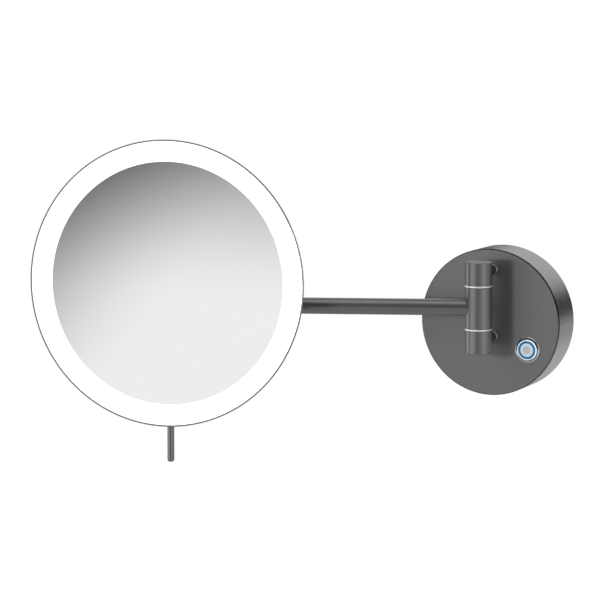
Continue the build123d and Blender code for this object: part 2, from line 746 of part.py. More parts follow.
carrier -= Pos(0, lead_turn, 0) * port
carrier -= rod((0, lead_turn, lead_front_run), (0, lead_end, lead_front_run), lead_hole_r)
carrier -= Pos(0, lead_end, 0) * port
TAB = (Align.CENTER, Align.MIN, Align.MIN)
board_tab = 6.0
tab_start = lead_end - lead_r
slot_start = gasket_inner - pass_gap
tab_slot = Box(board_tab + 2 * pass_gap, gasket_outer - slot_start + pass_gap, board_sheet, align=TAB)
carrier -= Pos(0, slot_start, shelf_top) * tab_slot
save("mirror_carrier", head_place * carrier)
save("shell_screws", head_place * shell_screws)

led_board = ring(board_outer, board_inner, shelf_top, shelf_top + board_sheet)
tab_length = board_inner + board_sheet - tab_start
led_board += Pos(0, tab_start, shelf_top) * Box(board_tab, tab_length, board_sheet, align=TAB)
save("led_board", head_place * led_board)
led_chips = Part()
chip = Box(chip_width, chip_length, chip_height, align=BASE)
chip = Pos((board_inner + board_outer) / 2, 0, shelf_top + board_sheet) * chip
led_chips += [Rot(0, 0, 360 * (step + 0.5) / led_count) * chip for step in range(led_count)]
save("led_chips", head_place * led_chips)
gasket = ring(gasket_outer, gasket_inner, shelf_top + board_sheet, glass_front - glass_thickness + 1)
gasket -= glass_back
save("mirror_gasket", head_place * gasket)

yoke_ear = 3.5
ear_inner = bush_end + run_gap
ear_outer = ear_inner + yoke_ear
cap_height = 2.5
cap_end = ear_outer + cap_height
cap_socket_r = 1.6
backing_sheet = 1.0
backing_top = shell_floor + backing_sheet
plate_back = shell_back - yoke_plate_thickness
tilt_yoke = ring(yoke_r, lead_port_r, plate_back, shell_back)
tilt_screws = Part()
for side in (1, -1):
    ear = Box(yoke_ear, 2 * tilt_r, plate_back + yoke_plate_thickness / 2, align=BASE)
    ear = Pos(side * (ear_inner + ear_outer) / 2, 0, 0) * ear
    ear += rod((side * ear_inner, 0, 0), (side * ear_outer, 0, 0), tilt_r)
    tilt_yoke += ear - rod((0, 0, 0), (side * 2 * ear_outer, 0, 0), tilt_screw_r + fit_gap)
    tilt_screws += rod((side * (bush_start + pass_gap), 0, 0), (side * ear_outer, 0, 0), tilt_screw_r)
    cap = rod((side * ear_outer, 0, 0), (side * cap_end, 0, 0), 0.8 * tilt_r)
    cap = chamfer(cap.edges().group_by(Axis.X)[-1 if side > 0 else 0], 2 * edge_break)
    cap -= rod((side * (ear_outer + cap_height / 2), 0, 0), (side * cap_end, 0, 0), cap_socket_r)
    tilt_screws += cap
yoke_screws = Part()
yoke_screw = ring(small_screw_r, 0, plate_back, backing_top)
yoke_screw += ring(small_head_r, 0, plate_back - small_head_height, plate_back)
yoke_hole = ring(small_screw_r + fit_gap, 0, plate_back, backing_top)
backing = ring(yoke_r, 1.5 * lead_port_r, shell_floor, backing_top)
for x, y in yoke_holes:
    tilt_yoke -= Pos(x, y, 0) * yoke_hole
    backing -= Pos(x, y, 0) * yoke_hole
    yoke_screws += Pos(x, y, 0) * yoke_screw
save("tilt_yoke", head_place * tilt_yoke)
save("tilt_screws", head_place * tilt_screws)
save("yoke_screws", head_place * yoke_screws)
save("yoke_backing_plate", head_place * backing)

pull_level = front - pull_pin_setback
pull_r = pull_pin_diameter / 2
pull_end = head_r + pull_pin_length
socket_top = head_r - bevel
pull_pin = rod((0, -pull_end, pull_level), (0, -socket_top, pull_level), pull_r)
pull_pin = fillet(pull_pin.edges().group_by(Axis.Y)[0], 0.35 * pull_pin_diameter)
pull_pin -= envelope
save("pull_pin", head_place * pull_pin)
socket_wall = 1.6
socket = rod((0, -socket_top, pull_level), (0, -head_r + socket_wall, pull_level), pull_r + socket_wall)
socket -= envelope
socket -= rod((0, -socket_top, pull_level), (0, -head_r, pull_level), pull_r + fit_gap)
save("pull_pin_socket", head_place * socket)

head_lead = lead(
    [
        (0, 0, 0),
        (0, 0, lead_run),
        (0, lead_turn, lead_run),
        (0, lead_turn, lead_front_run),
        (0, lead_end, lead_front_run),
        (0, lead_end, shelf_top),
    ],
    0.6 * lead_diameter,
)
save("head_lead", head_place * head_lead)
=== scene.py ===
import json
from math import cos, pi, radians, sin, sqrt

import bmesh
import bpy
from bpy.props import FloatProperty, FloatVectorProperty, IntProperty, PointerProperty
from mathutils import Matrix, Vector


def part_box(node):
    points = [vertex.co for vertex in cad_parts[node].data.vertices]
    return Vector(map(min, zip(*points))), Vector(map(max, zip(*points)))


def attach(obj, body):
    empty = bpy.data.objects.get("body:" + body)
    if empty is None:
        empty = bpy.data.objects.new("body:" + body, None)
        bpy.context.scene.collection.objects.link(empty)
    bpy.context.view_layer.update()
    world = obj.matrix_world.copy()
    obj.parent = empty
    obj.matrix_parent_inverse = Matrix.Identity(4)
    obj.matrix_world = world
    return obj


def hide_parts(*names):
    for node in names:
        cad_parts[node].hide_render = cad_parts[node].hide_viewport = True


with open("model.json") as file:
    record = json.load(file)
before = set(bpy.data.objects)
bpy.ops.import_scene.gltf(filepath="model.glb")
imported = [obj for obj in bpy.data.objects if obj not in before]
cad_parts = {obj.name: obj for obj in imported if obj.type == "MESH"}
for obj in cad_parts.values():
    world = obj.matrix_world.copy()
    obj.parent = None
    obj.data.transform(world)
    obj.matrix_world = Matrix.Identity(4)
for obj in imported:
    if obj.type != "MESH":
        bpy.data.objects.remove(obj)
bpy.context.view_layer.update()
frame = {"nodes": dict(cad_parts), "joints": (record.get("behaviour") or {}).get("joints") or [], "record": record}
NODES = frame["nodes"]
SLOTS = {row["node"]: row["material_slot"] for row in frame["record"]["subparts"]}
JOINTS = {joint["name"]: joint for joint in frame["joints"]}

bl_info = {
    "name": "Wall shaving mirror",
    "version": (1, 0, 0),
    "blender": (4, 5, 0),
    "location": "View3D > Sidebar > Mirror",
    "description": "Dresses the CAD frame of a lit shaving mirror on a swing arm",
    "category": "Object",
}

OWN_FINISH = {"button_cap_rim": "cap_rim", "rose_drum": "graphite_drum", "rose_face": "graphite_face"}
FULL_TURN = 2 * pi
SMOOTH_ANGLE = radians(32)
BEVEL_ANGLE = radians(25)
MERGE = 1e-6
NEAR = 2e-5
FINE_STEPS = 96
FREE_GAP = 0.00005
BEZEL_EDGE = 0.0009
BUMP_DEPTH = 0.0002
SENSOR = 36


class HeadSizes(bpy.types.PropertyGroup):
    """Sizes of the mirror head's visible pieces"""

    outer_radius: FloatProperty(
        name="Head radius", description="Outside of the thin metal rim", default=0.1005, unit="LENGTH")
    rim: FloatProperty(
        name="Rim", description="Thickness of the metal rim round the lit ring", default=0.001, unit="LENGTH")
    ring_width: FloatProperty(
        name="Lit ring width", description="Visible width of the lit ring", default=0.0144, unit="LENGTH")
    ring_thickness: FloatProperty(
        name="Lit ring thickness", description="Thickness of the frosted ring", default=0.00275,
        unit="LENGTH")
    ring_recess: FloatProperty(
        name="Lit ring recess", description="How far the ring lies behind the rim", default=0.0002,
        unit="LENGTH")
    glass_lap: FloatProperty(
        name="Glass lap", description="How far the glass runs under the ring", default=0.0014, unit="LENGTH")
    glass_thickness: FloatProperty(
        name="Glass thickness", description="Thickness of the mirror glass", default=0.003, unit="LENGTH")
    glass_curve: FloatProperty(
        name="Glass curve", description="Radius of the concave front", default=0.7, unit="LENGTH")
    front: FloatProperty(
        name="Front", description="Rim's front edge, measured from the tilt axis", default=0.037865,
        unit="LENGTH")
    rest_tilt: FloatProperty(
        name="Rest tilt", description="How far the head leans back at rest", default=radians(2.3),
        subtype="ANGLE")
    steps: IntProperty(
        name="Steps", description="Steps round the head's turned pieces", default=192, min=24)


class FinishColours(bpy.types.PropertyGroup):
    """Colours of the finishes"""

    graphite: FloatVectorProperty(
        name="Graphite", description="Satin metal of the head, arm and rose", default=(0.27, 0.27, 0.273),
        subtype="COLOR", size=3, min=0, max=1)
    drum: FloatVectorProperty(
        name="Rose side", description="Blasted metal of the rose's side", default=(0.335, 0.335, 0.338),
        subtype="COLOR", size=3, min=0, max=1)
    face: FloatVectorProperty(
        name="Rose face", description="Matt coat of the rose's front", default=(0.182, 0.182, 0.184),
        subtype="COLOR", size=3, min=0, max=1)
    polished: FloatVectorProperty(
        name="Polished", description="Bright rings and button bezel", default=(0.95, 0.95, 0.955),
        subtype="COLOR", size=3, min=0, max=1)
    glow: FloatVectorProperty(
        name="Glow", description="Light of the frosted ring", default=(1.0, 1.0, 1.0),
        subtype="COLOR", size=3, min=0, max=1)
    button_light: FloatVectorProperty(
        name="Button light", description="Blue light round the button", default=(0.038, 0.142, 0.262),
        subtype="COLOR", size=3, min=0, max=1)


class StudioSettings(bpy.types.PropertyGroup):
    """Camera, floor and light"""

    camera_place: FloatVectorProperty(
        name="Camera", description="Where the camera stands", default=(0.65933, -1.66808, 0.24612),
        subtype="TRANSLATION", size=3)
    camera_turn: FloatProperty(
        name="Turn", description="Camera's turn to the left", default=radians(26.29), subtype="ANGLE")
    camera_dip: FloatProperty(
        name="Dip", description="Camera's dip below the horizon", default=radians(7.41), subtype="ANGLE")
    camera_roll: FloatProperty(
        name="Roll", description="Camera's roll", default=radians(-0.53), subtype="ANGLE")
    lens: FloatProperty(
        name="Lens", description="Focal length on a 36 mm sensor", default=150.18, unit="CAMERA")
    floor_level: FloatProperty(
        name="Floor level", description="Height of the floor under the rose's centre", default=-0.6,
        unit="LENGTH")
    floor_radius: FloatProperty(
        name="Floor radius", description="Where the floor has faded out", default=1.5, unit="LENGTH")
    key_power: FloatProperty(
        name="Key light", description="Power of the front light", default=1.33, unit="POWER")
    side_power: FloatProperty(
        name="Side light", description="Power of the soft light at the rose's upper left", default=0.05,
        unit="POWER")
    fill: FloatProperty(
        name="Fill light", description="Plain light from all round", default=0.38, min=0)


class ShavingMirror(bpy.types.PropertyGroup):
    """All settings of the shaving mirror"""

    head: PointerProperty(type=HeadSizes)
    colours: PointerProperty(type=FinishColours)
    studio: PointerProperty(type=StudioSettings)


# Modelling


def clear_selection():
    if bpy.context.mode != "OBJECT":
        bpy.ops.object.mode_set(mode="OBJECT")
    bpy.ops.object.select_all(action="DESELECT")


def head_place(head):
    """Head frame: origin on the tilt axis, x to the right, y up, z out of the glass."""
    joint = JOINTS["head_tilt"]
    axis = Vector(joint["axis"]).normalized()
    turn = axis.to_2d().angle_signed(Vector((1, 0)))
    return (
        Matrix.Translation(joint["pos_m"])
        @ Matrix.Rotation(turn, 4, "Z")
        @ Matrix.Rotation(pi / 2 - head.rest_tilt, 4, "X")
    )


def settle(piece, place):
    """Puts a piece in place with its place in its mesh, and smooths its round faces."""
    clear_selection()
    piece.select_set(True)
    bpy.context.view_layer.objects.active = piece
    piece.matrix_world = place
    bpy.ops.object.transform_apply(location=True, rotation=True, scale=True)
    bpy.ops.object.shade_smooth_by_angle(angle=SMOOTH_ANGLE)


def turned(name, outline, place, steps, rounding=0.0):
    """Turned piece: an outline of (radius, height) points spun about Z."""
    clear_selection()
    bpy.ops.mesh.primitive_plane_add(size=0.001)
    piece = bpy.context.object
    piece.name = name
    piece.data.name = name
    bpy.ops.object.mode_set(mode="EDIT")
    bpy.ops.mesh.select_all(action="SELECT")
    bpy.ops.mesh.merge(type="CENTER")
    bpy.ops.transform.translate(value=(outline[0][0], 0, outline[0][1]))
    for (radius, height), (next_radius, next_height) in zip(outline, outline[1:]):
        step = (next_radius - radius, 0, next_height - height)
        bpy.ops.mesh.extrude_vertices_move(TRANSFORM_OT_translate={"value": step})
    bpy.ops.mesh.select_all(action="SELECT")
    bpy.ops.mesh.spin(steps=steps, angle=FULL_TURN, center=(0, 0, 0), axis=(0, 0, 1))
    bpy.ops.mesh.select_all(action="SELECT")
    bpy.ops.mesh.remove_doubles(threshold=MERGE)
    bpy.ops.mesh.normals_make_consistent(inside=False)
    bpy.ops.object.mode_set(mode="OBJECT")
    if rounding > 0:
        bevel = piece.modifiers.new("rounding", "BEVEL")
        bevel.width = rounding
        bevel.segments = 3
        bevel.limit_method = "ANGLE"
        bevel.angle_limit = BEVEL_ANGLE
        bpy.ops.object.modifier_apply(modifier=bevel.name)
    settle(piece, place)
    return piece


def pick_loop(piece, radius, height):
    """Selects the ring of vertices at a radius and height."""
    shape = bmesh.from_edit_mesh(piece.data)
    for vertex in shape.verts:
        across = abs(vertex.co.to_2d().length - radius)
        along = abs(vertex.co.z - height)
        vertex.select_set(across < NEAR and along < NEAR)
    shape.select_flush_mode()
    bmesh.update_edit_mesh(piece.data)


def socket_screw(name, head_radius, head_height, shank_radius, shank_length, key):
    """Button-head screw with a six-sided socket, head up, underside at height 0."""
    clear_selection()
    flat_share = 0.66
    socket_share = 0.62
    steps = 36
    flat = flat_share * head_radius
    corner = key / sqrt(3)
    bpy.ops.mesh.primitive_circle_add(vertices=steps, radius=flat, fill_type="NOTHING")
    piece = bpy.context.object
    piece.name = name
    piece.data.name = name
    bpy.ops.object.mode_set(mode="EDIT")
    bpy.ops.mesh.select_mode(type="VERT")
    bpy.ops.mesh.primitive_circle_add(vertices=6, radius=corner, fill_type="NOTHING")
    bpy.ops.mesh.select_all(action="SELECT")
    bpy.ops.mesh.bridge_edge_loops()
    bpy.ops.mesh.select_all(action="SELECT")
    bpy.ops.transform.translate(value=(0, 0, head_height))
    # The socket goes down from the inner loop and gets a floor.
    pick_loop(piece, corner, head_height)
    depth = socket_share * head_height
    bpy.ops.mesh.extrude_region_move(TRANSFORM_OT_translate={"value": (0, 0, -depth)})
    bpy.ops.mesh.edge_face_add()
    # The dome, underside and shank follow the outer loop, in shares of the head's radius and height.
    pick_loop(piece, flat, head_height)
    dome = [(0.84, 0.84), (0.94, 0.62), (0.99, 0.36), (1.0, 0.12), (0.98, 0.0)]
    shank_share = shank_radius / head_radius
    chamfer = 0.1 * shank_radius
    shank = [
        (shank_share, 0.0),
        (shank_share, (chamfer - shank_length) / head_height),
        ((shank_radius - chamfer) / head_radius, -shank_length / head_height),
    ]
    radius, height = flat_share, 1.0
    for next_radius, next_height in dome + shank:
        drop = (next_height - height) * head_height
        bpy.ops.mesh.extrude_region_move(TRANSFORM_OT_translate={"value": (0, 0, drop)})
        grow = next_radius / radius
        bpy.ops.transform.resize(value=(grow, grow, 1), center_override=(0, 0, 0))
        radius, height = next_radius, next_height
    bpy.ops.mesh.edge_face_add()
    bpy.ops.mesh.select_all(action="SELECT")
    bpy.ops.mesh.normals_make_consistent(inside=False)
    bpy.ops.object.mode_set(mode="OBJECT")
    return piece


def copies(piece, places, names):
    """The piece at its first place, and a copy with its own mesh at every other."""
    made = [piece]
    for name in names[1:]:
        clear_selection()
        piece.select_set(True)
        bpy.context.view_layer.objects.active = piece
        bpy.ops.object.duplicate(linked=False)
        copy = bpy.context.object
        copy.name = name
        copy.data.name = name
        made.append(copy)
    for copy, place in zip(made, places):
        settle(copy, place)
    return made


def coat(piece, finish):
    """The finish all over a piece."""
    piece.data.materials.clear()
    piece.data.materials.append(bpy.data.materials[f"{finish}_finish"])


def dress(piece, body, node, finish):
    """The piece stands for a CAD node, rides on its body and takes its finish."""
    coat(piece, finish)
    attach(piece, body)
    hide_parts(node)


# Finishes


def node_of(tree, kind, **values):
    made = tree.nodes.new(kind)
    for name, value in values.items():
        setattr(made, name, value)
    return made


def math_of(tree, operation, first, second=None, clamp=False):
    made = node_of(tree, "ShaderNodeMath", operation=operation, use_clamp=clamp)
    for socket, value in zip(made.inputs, (first, second)):
        if value is None:
            continue
        if isinstance(value, (int, float)):
            socket.default_value = value
        else:
            tree.links.new(value, socket)
    return made.outputs[0]


def stretched(tree, value, gain, shift, clamp=False):
    """A value times a gain, plus a shift."""
    made = math_of(tree, "MULTIPLY_ADD", value, gain, clamp=clamp)
    made.node.inputs[2].default_value = shift
    return made


def group_of(name, inputs, outputs):
    """Empty shader group with named sockets."""
    tree = bpy.data.node_groups.new(name, "ShaderNodeTree")
    for label, kind, value in inputs:
        socket = tree.interface.new_socket(name=label, in_out="INPUT", socket_type=kind)
        socket.default_value = value
    for label, kind in outputs:
        tree.interface.new_socket(name=label, in_out="OUTPUT", socket_type=kind)
    return tree, tree.nodes.new("NodeGroupInput"), tree.nodes.new("NodeGroupOutput")


def grain_group():
    """Fine grain: colour and roughness that vary from grain to grain, and a height."""
    tree, start, end = group_of(
        "fine_grain",
        [
            ("Colour", "NodeSocketColor", (0.5, 0.5, 0.5, 1)),
            ("Colour Spread", "NodeSocketFloat", 0.1),
            ("Roughness", "NodeSocketFloat", 0.4),
            ("Roughness Spread", "NodeSocketFloat", 0.1),
            ("Grains per Metre", "NodeSocketFloat", 2000.0),
        ],
        [("Colour", "NodeSocketColor"), ("Roughness", "NodeSocketFloat"), ("Height", "NodeSocketFloat")],
    )
    coordinates = tree.nodes.new("ShaderNodeTexCoord")
    grain = node_of(tree, "ShaderNodeTexNoise", noise_dimensions="3D")
    grain.inputs["Detail"].default_value = 3
    tree.links.new(coordinates.outputs["Object"], grain.inputs["Vector"])
    tree.links.new(start.outputs["Grains per Metre"], grain.inputs["Scale"])
    # Noise keeps near one half: this brings it to about minus one to one.
    swing = stretched(tree, grain.outputs["Fac"], 4.0, -2.0)
    shade = math_of(tree, "ADD", math_of(tree, "MULTIPLY", swing, start.outputs["Colour Spread"]), 1.0)
    tint = node_of(tree, "ShaderNodeVectorMath", operation="SCALE")
    tree.links.new(start.outputs["Colour"], tint.inputs[0])
    tree.links.new(shade, tint.inputs["Scale"])
    tree.links.new(tint.outputs["Vector"], end.inputs["Colour"])
    change = math_of(tree, "MULTIPLY", swing, start.outputs["Roughness Spread"])
    rough = math_of(tree, "ADD", change, start.outputs["Roughness"], clamp=True)
    tree.links.new(rough, end.inputs["Roughness"])
    tree.links.new(grain.outputs["Fac"], end.inputs["Height"])


def marks_group():
    """Faint marks of use: slow patches that make a finish a little duller here and there."""
    tree, start, end = group_of(
        "faint_marks",
        [
            ("Roughness", "NodeSocketFloat", 0.3),
            ("Amount", "NodeSocketFloat", 0.05),
            ("Patches per Metre", "NodeSocketFloat", 40.0),
        ],
        [("Roughness", "NodeSocketFloat")],
    )
    coordinates = tree.nodes.new("ShaderNodeTexCoord")
    patch = node_of(tree, "ShaderNodeTexNoise", noise_dimensions="3D")
    patch.inputs["Detail"].default_value = 5
    patch.inputs["Distortion"].default_value = 0.6
    tree.links.new(coordinates.outputs["Object"], patch.inputs["Vector"])
    tree.links.new(start.outputs["Patches per Metre"], patch.inputs["Scale"])
    # Only the noise's higher half makes a patch.
    share = stretched(tree, patch.outputs["Fac"], 3.2, -1.35, clamp=True)
    dull = math_of(tree, "MULTIPLY", share, start.outputs["Amount"])
    tree.links.new(math_of(tree, "ADD", dull, start.outputs["Roughness"]), end.inputs["Roughness"])


def radius_group():
    """Distance from an axis: place and turn bring the axis onto Z."""
    tree, start, end = group_of(
        "axis_distance",
        [
            ("Place", "NodeSocketVector", (0, 0, 0)),
            ("Turn", "NodeSocketVector", (0, 0, 0)),
        ],
        [("Distance", "NodeSocketFloat")],
    )
    coordinates = tree.nodes.new("ShaderNodeTexCoord")
    mapping = node_of(tree, "ShaderNodeMapping", vector_type="TEXTURE")
    tree.links.new(coordinates.outputs["Object"], mapping.inputs["Vector"])
    tree.links.new(start.outputs["Place"], mapping.inputs["Location"])
    tree.links.new(start.outputs["Turn"], mapping.inputs["Rotation"])
    flat = node_of(tree, "ShaderNodeVectorMath", operation="MULTIPLY")
    flat.inputs[1].default_value = (1, 1, 0)
    tree.links.new(mapping.outputs["Vector"], flat.inputs[0])
    length = node_of(tree, "ShaderNodeVectorMath", operation="LENGTH")
    tree.links.new(flat.outputs["Vector"], length.inputs[0])
    tree.links.new(length.outputs["Value"], end.inputs["Distance"])


def placed(tree, group, **values):
    """A shader group in a material, with its own values."""
    made = node_of(tree, "ShaderNodeGroup", node_tree=bpy.data.node_groups[group])
    for name, value in values.items():
        made.inputs[name.replace("_", " ").title().replace("Per", "per")].default_value = value
    return made


def blank(name):
    """A new finish; the frame brings plain materials with the slots' names, so a finish has its own."""
    material = bpy.data.materials.new(f"{name}_finish")
    material.use_nodes = True
    return material.node_tree, material.node_tree.nodes["Principled BSDF"]


def grained(name, colour, metallic, roughness, spread, uneven, grains, bump, marks=0.0, **fixed):
    """A finish with fine grain, faint marks and a light bump."""
    tree, shader = blank(name)
    grain = placed(
        tree, "fine_grain", colour=(*colour, 1), colour_spread=spread, roughness=roughness,
        roughness_spread=uneven, grains_per_metre=grains)
    tree.links.new(grain.outputs["Colour"], shader.inputs["Base Color"])
    rough = grain.outputs["Roughness"]
    if marks > 0:
        mark = placed(tree, "faint_marks", amount=marks, patches_per_metre=45.0)
        tree.links.new(rough, mark.inputs["Roughness"])
        rough = mark.outputs["Roughness"]
    tree.links.new(rough, shader.inputs["Roughness"])
    relief = tree.nodes.new("ShaderNodeBump")
    relief.inputs["Strength"].default_value = bump
    relief.inputs["Distance"].default_value = BUMP_DEPTH
    tree.links.new(grain.outputs["Height"], relief.inputs["Height"])
    tree.links.new(relief.outputs["Normal"], shader.inputs["Normal"])
    shader.inputs["Metallic"].default_value = metallic
    for socket, value in fixed.items():
        shader.inputs[socket.replace("_", " ").title().replace("Ior", "IOR")].default_value = value
    return tree, shader


def banded(tree, distance, stops):
    """Colour that changes with the distance from an axis, in bands of (distance, colour)."""
    reach = stops[-1][0]
    ramp = tree.nodes.new("ShaderNodeValToRGB")
    ramp.color_ramp.interpolation = "EASE"
    elements = ramp.color_ramp.elements
    while len(elements) < len(stops):
        elements.new(0.5)
    for element, (place, colour) in zip(elements, stops):
        element.position = place / reach
        element.color = (*colour, 1)
    tree.links.new(math_of(tree, "DIVIDE", distance, reach), ramp.inputs["Fac"])
    return ramp.outputs["Color"]


def shaded(tree, distance, stops):
    """Grey that changes with the distance from an axis, in bands of (distance, grey)."""
    return banded(tree, distance, [(place, (grey,) * 3) for place, grey in stops])


def shade_colour(tree, shader, shade):
    """Multiplies a finish's colour by a grey."""
    plain = shader.inputs["Base Color"].links[0].from_socket
    product = node_of(tree, "ShaderNodeVectorMath", operation="MULTIPLY")
    tree.links.new(plain, product.inputs[0])
    tree.links.new(shade, product.inputs[1])
    tree.links.new(product.outputs["Vector"], shader.inputs["Base Color"])


def give_light(tree, shader, light):
    """The finish gives off a light of its own."""
    tree.links.new(light, shader.inputs["Emission Color"])
    shader.inputs["Emission Strength"].default_value = 1.0


def disc_radius(node):
    """Outer radius of a round CAD piece, from its width."""
    low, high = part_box(node)
    return (high.x - low.x) / 2


def axis_distance(tree, place):
    """Distance from the Z axis of a place."""
    return placed(
        tree, "axis_distance", place=place.to_translation(), turn=place.to_euler("XYZ")).outputs["Distance"]


PLAIN_FINISHES = {
    "steel": dict(
        colour=(0.56, 0.56, 0.57), metallic=1.0, roughness=0.30, spread=0.05, uneven=0.06, grains=1800,
        bump=0.06, marks=0.08),
    "brass": dict(
        colour=(0.72, 0.52, 0.24), metallic=1.0, roughness=0.28, spread=0.05, uneven=0.05, grains=2400,
        bump=0.04, marks=0.08),
    "nylon": dict(
        colour=(0.74, 0.73, 0.69), metallic=0.0, roughness=0.46, spread=0.03, uneven=0.05, grains=1500,
        bump=0.05),
    "black_plastic": dict(
        colour=(0.028, 0.028, 0.03), metallic=0.0, roughness=0.48, spread=0.12, uneven=0.06, grains=1600,
        bump=0.10),
    "white_plastic": dict(
        colour=(0.78, 0.78, 0.76), metallic=0.0, roughness=0.42, spread=0.02, uneven=0.05, grains=1500,
        bump=0.05),
    "board": dict(
        colour=(0.72, 0.74, 0.72), metallic=0.0, roughness=0.40, spread=0.05, uneven=0.06, grains=1200,
        bump=0.04),
    "rubber": dict(
        colour=(0.03, 0.03, 0.03), metallic=0.0, roughness=0.72, spread=0.15, uneven=0.06, grains=1400,
        bump=0.12),
    "foam": dict(
        colour=(0.20, 0.20, 0.20), metallic=0.0, roughness=0.90, spread=0.30, uneven=0.05, grains=900,
        bump=0.40),
    "cable": dict(
        colour=(0.045, 0.045, 0.047), metallic=0.0, roughness=0.55, spread=0.10, uneven=0.06, grains=1300,
        bump=0.08),
    "led": dict(
        colour=(0.80, 0.72, 0.35), metallic=0.0, roughness=0.35, spread=0.05, uneven=0.05, grains=2000,
        bump=0.04, emission_color=(1.0, 0.97, 0.9, 1), emission_strength=1.0),
}


def make_finishes(settings):
    """Every finish of the mirror."""
    colours = settings.colours
    head = settings.head
    grain_group()
    marks_group()
    radius_group()
    for name, look in PLAIN_FINISHES.items():
        grained(name, **look)
    grained(
        "graphite", colours.graphite, 0.94, 0.30, spread=0.03, uneven=0.02, grains=2600, bump=0.015,
        marks=0.03)
    grained(
        "bright", colours.polished, 0.6, 0.24, spread=0.02, uneven=0.03, grains=5200, bump=0.02, marks=0.06)
    make_face_finish(colours)
    make_bezel_finish(colours)
    make_drum_finish(colours)
    make_mirror_finish(head)
    make_lit_finish(head, colours)
    make_button_finishes(colours)


def make_face_finish(colours):
    """The rose's front: matt graphite, with a shinier bare bevel round its edge whose colour is darkened as
    painted shade of the seam behind it.
    """
    metallic, bare_metallic = 0.35, 1.0
    roughness, bare_roughness = 0.42, 0.2
    edge_painted_shade = 0.7
    bevel, blend = 0.0006, 0.00003
    tree, shader = grained(
        "graphite_face", colours.face, metallic, roughness, spread=0.03, uneven=0.03, grains=2600,
        bump=0.03, marks=0.04)
    radius = disc_radius("rose_face")
    distance = axis_distance(tree, Matrix.Rotation(pi / 2, 4, "X"))

    def edged(front, edge):
        return shaded(tree, distance, [
            (0.0, front), (radius - bevel - blend, front), (radius - bevel, edge), (radius, edge)])

    # Painted shade: the bevel's colour is darkened to stand for the dark seam at the face's edge; its metallic and
    # roughness are the bare bevel's own.
    shade_colour(tree, shader, edged(1.0, edge_painted_shade))
    tree.links.new(edged(metallic, bare_metallic), shader.inputs["Metallic"])
    tree.links.new(edged(roughness, bare_roughness), shader.inputs["Roughness"])


def make_bezel_finish(colours):
    """The button's bezel: darkened on its slope as painted shade, bright on its round edge."""
    slope_painted_shade = 0.4
    blend = 0.0001
    tree, shader = grained(
        "polished", colours.polished, 1.0, 0.12, spread=0.02, uneven=0.03, grains=5200, bump=0.02, marks=0.06)
    radius = disc_radius("button_bezel")
    edge = radius - BEZEL_EDGE
    # Painted shade: the slope's colour is darkened to stand for the dark side of the bezel round the button.
    shade_colour(tree, shader, shaded(tree, axis_distance(tree, button_place()), [
        (0.0, slope_painted_shade), (edge - blend, slope_painted_shade), (edge + blend, 1.0), (radius, 1.0)]))


def make_drum_finish(colours):
    """The rose's side: grainy graphite, darkened to near black down in the groove behind the face as painted
    shade.
    """
    groove_painted_shade = 0.06
    deep, brim = 0.0004, 0.0001
    tree, shader = grained(
        "graphite_drum", colours.drum, 0.9, 0.25, spread=0.08, uneven=0.06, grains=1300, bump=0.10,
        marks=0.06)
    radius = disc_radius("rose_drum")
    # Painted shade: the groove's colour is darkened where shade falls between the face and the side.
    shade_colour(tree, shader, shaded(tree, axis_distance(tree, Matrix.Rotation(pi / 2, 4, "X")), [
        (0.0, groove_painted_shade), (radius - deep, groove_painted_shade), (radius - brim, 1.0), (radius, 1.0)]))


def glass_radius(head):
    """The glass runs a little way under the lit ring."""
    return head.outer_radius - head.rim - head.ring_width + head.glass_lap


def make_mirror_finish(head):
    """Silvered glass: clear over most of its face, a little darker towards its edge next to the lit ring and
    darker still under it.
    """
    tree, shader = blank("mirror")
    distance = axis_distance(tree, head_place(head))
    edge = glass_radius(head)
    clear, near_ring, bare = (0.933, 0.933, 0.933), (0.873, 0.873, 0.873), (0.60, 0.62, 0.61)
    fade = 0.0022
    tint = banded(tree, distance, [
        (0.0, clear), (edge - fade, clear), (edge - head.glass_lap, near_ring), (edge, bare)])
    tree.links.new(tint, shader.inputs["Base Color"])
    mark = placed(tree, "faint_marks", roughness=0.012, amount=0.012, patches_per_metre=30.0)
    tree.links.new(mark.outputs["Roughness"], shader.inputs["Roughness"])
    shader.inputs["Metallic"].default_value = 1.0


def make_lit_finish(head, colours):
    """Frosted ring lit from behind: full light, a touch softer towards its two edges."""
    tree, shader = grained(
        "lit", (0.86, 0.86, 0.86), 0.0, 0.5, spread=0.01, uneven=0.04, grains=3000, bump=0.03)
    outer = head.outer_radius - head.rim
    inner = outer - head.ring_width
    soft = 0.002
    inner_share, outer_share = 0.90, 0.88
    glow = Vector(colours.glow)
    give_light(tree, shader, banded(tree, axis_distance(tree, head_place(head)), [
        (inner, inner_share * glow),
        (inner + soft, glow),
        (outer - soft, glow),
        (outer, outer_share * glow),
    ]))


def button_place():
    """Button frame: z out of the rose's face, origin at the bezel's front edge."""
    low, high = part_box("button_bezel")
    middle = (low + high) / 2
    return Matrix.Translation((middle.x, low.y, middle.z)) @ Matrix.Rotation(pi / 2, 4, "X")


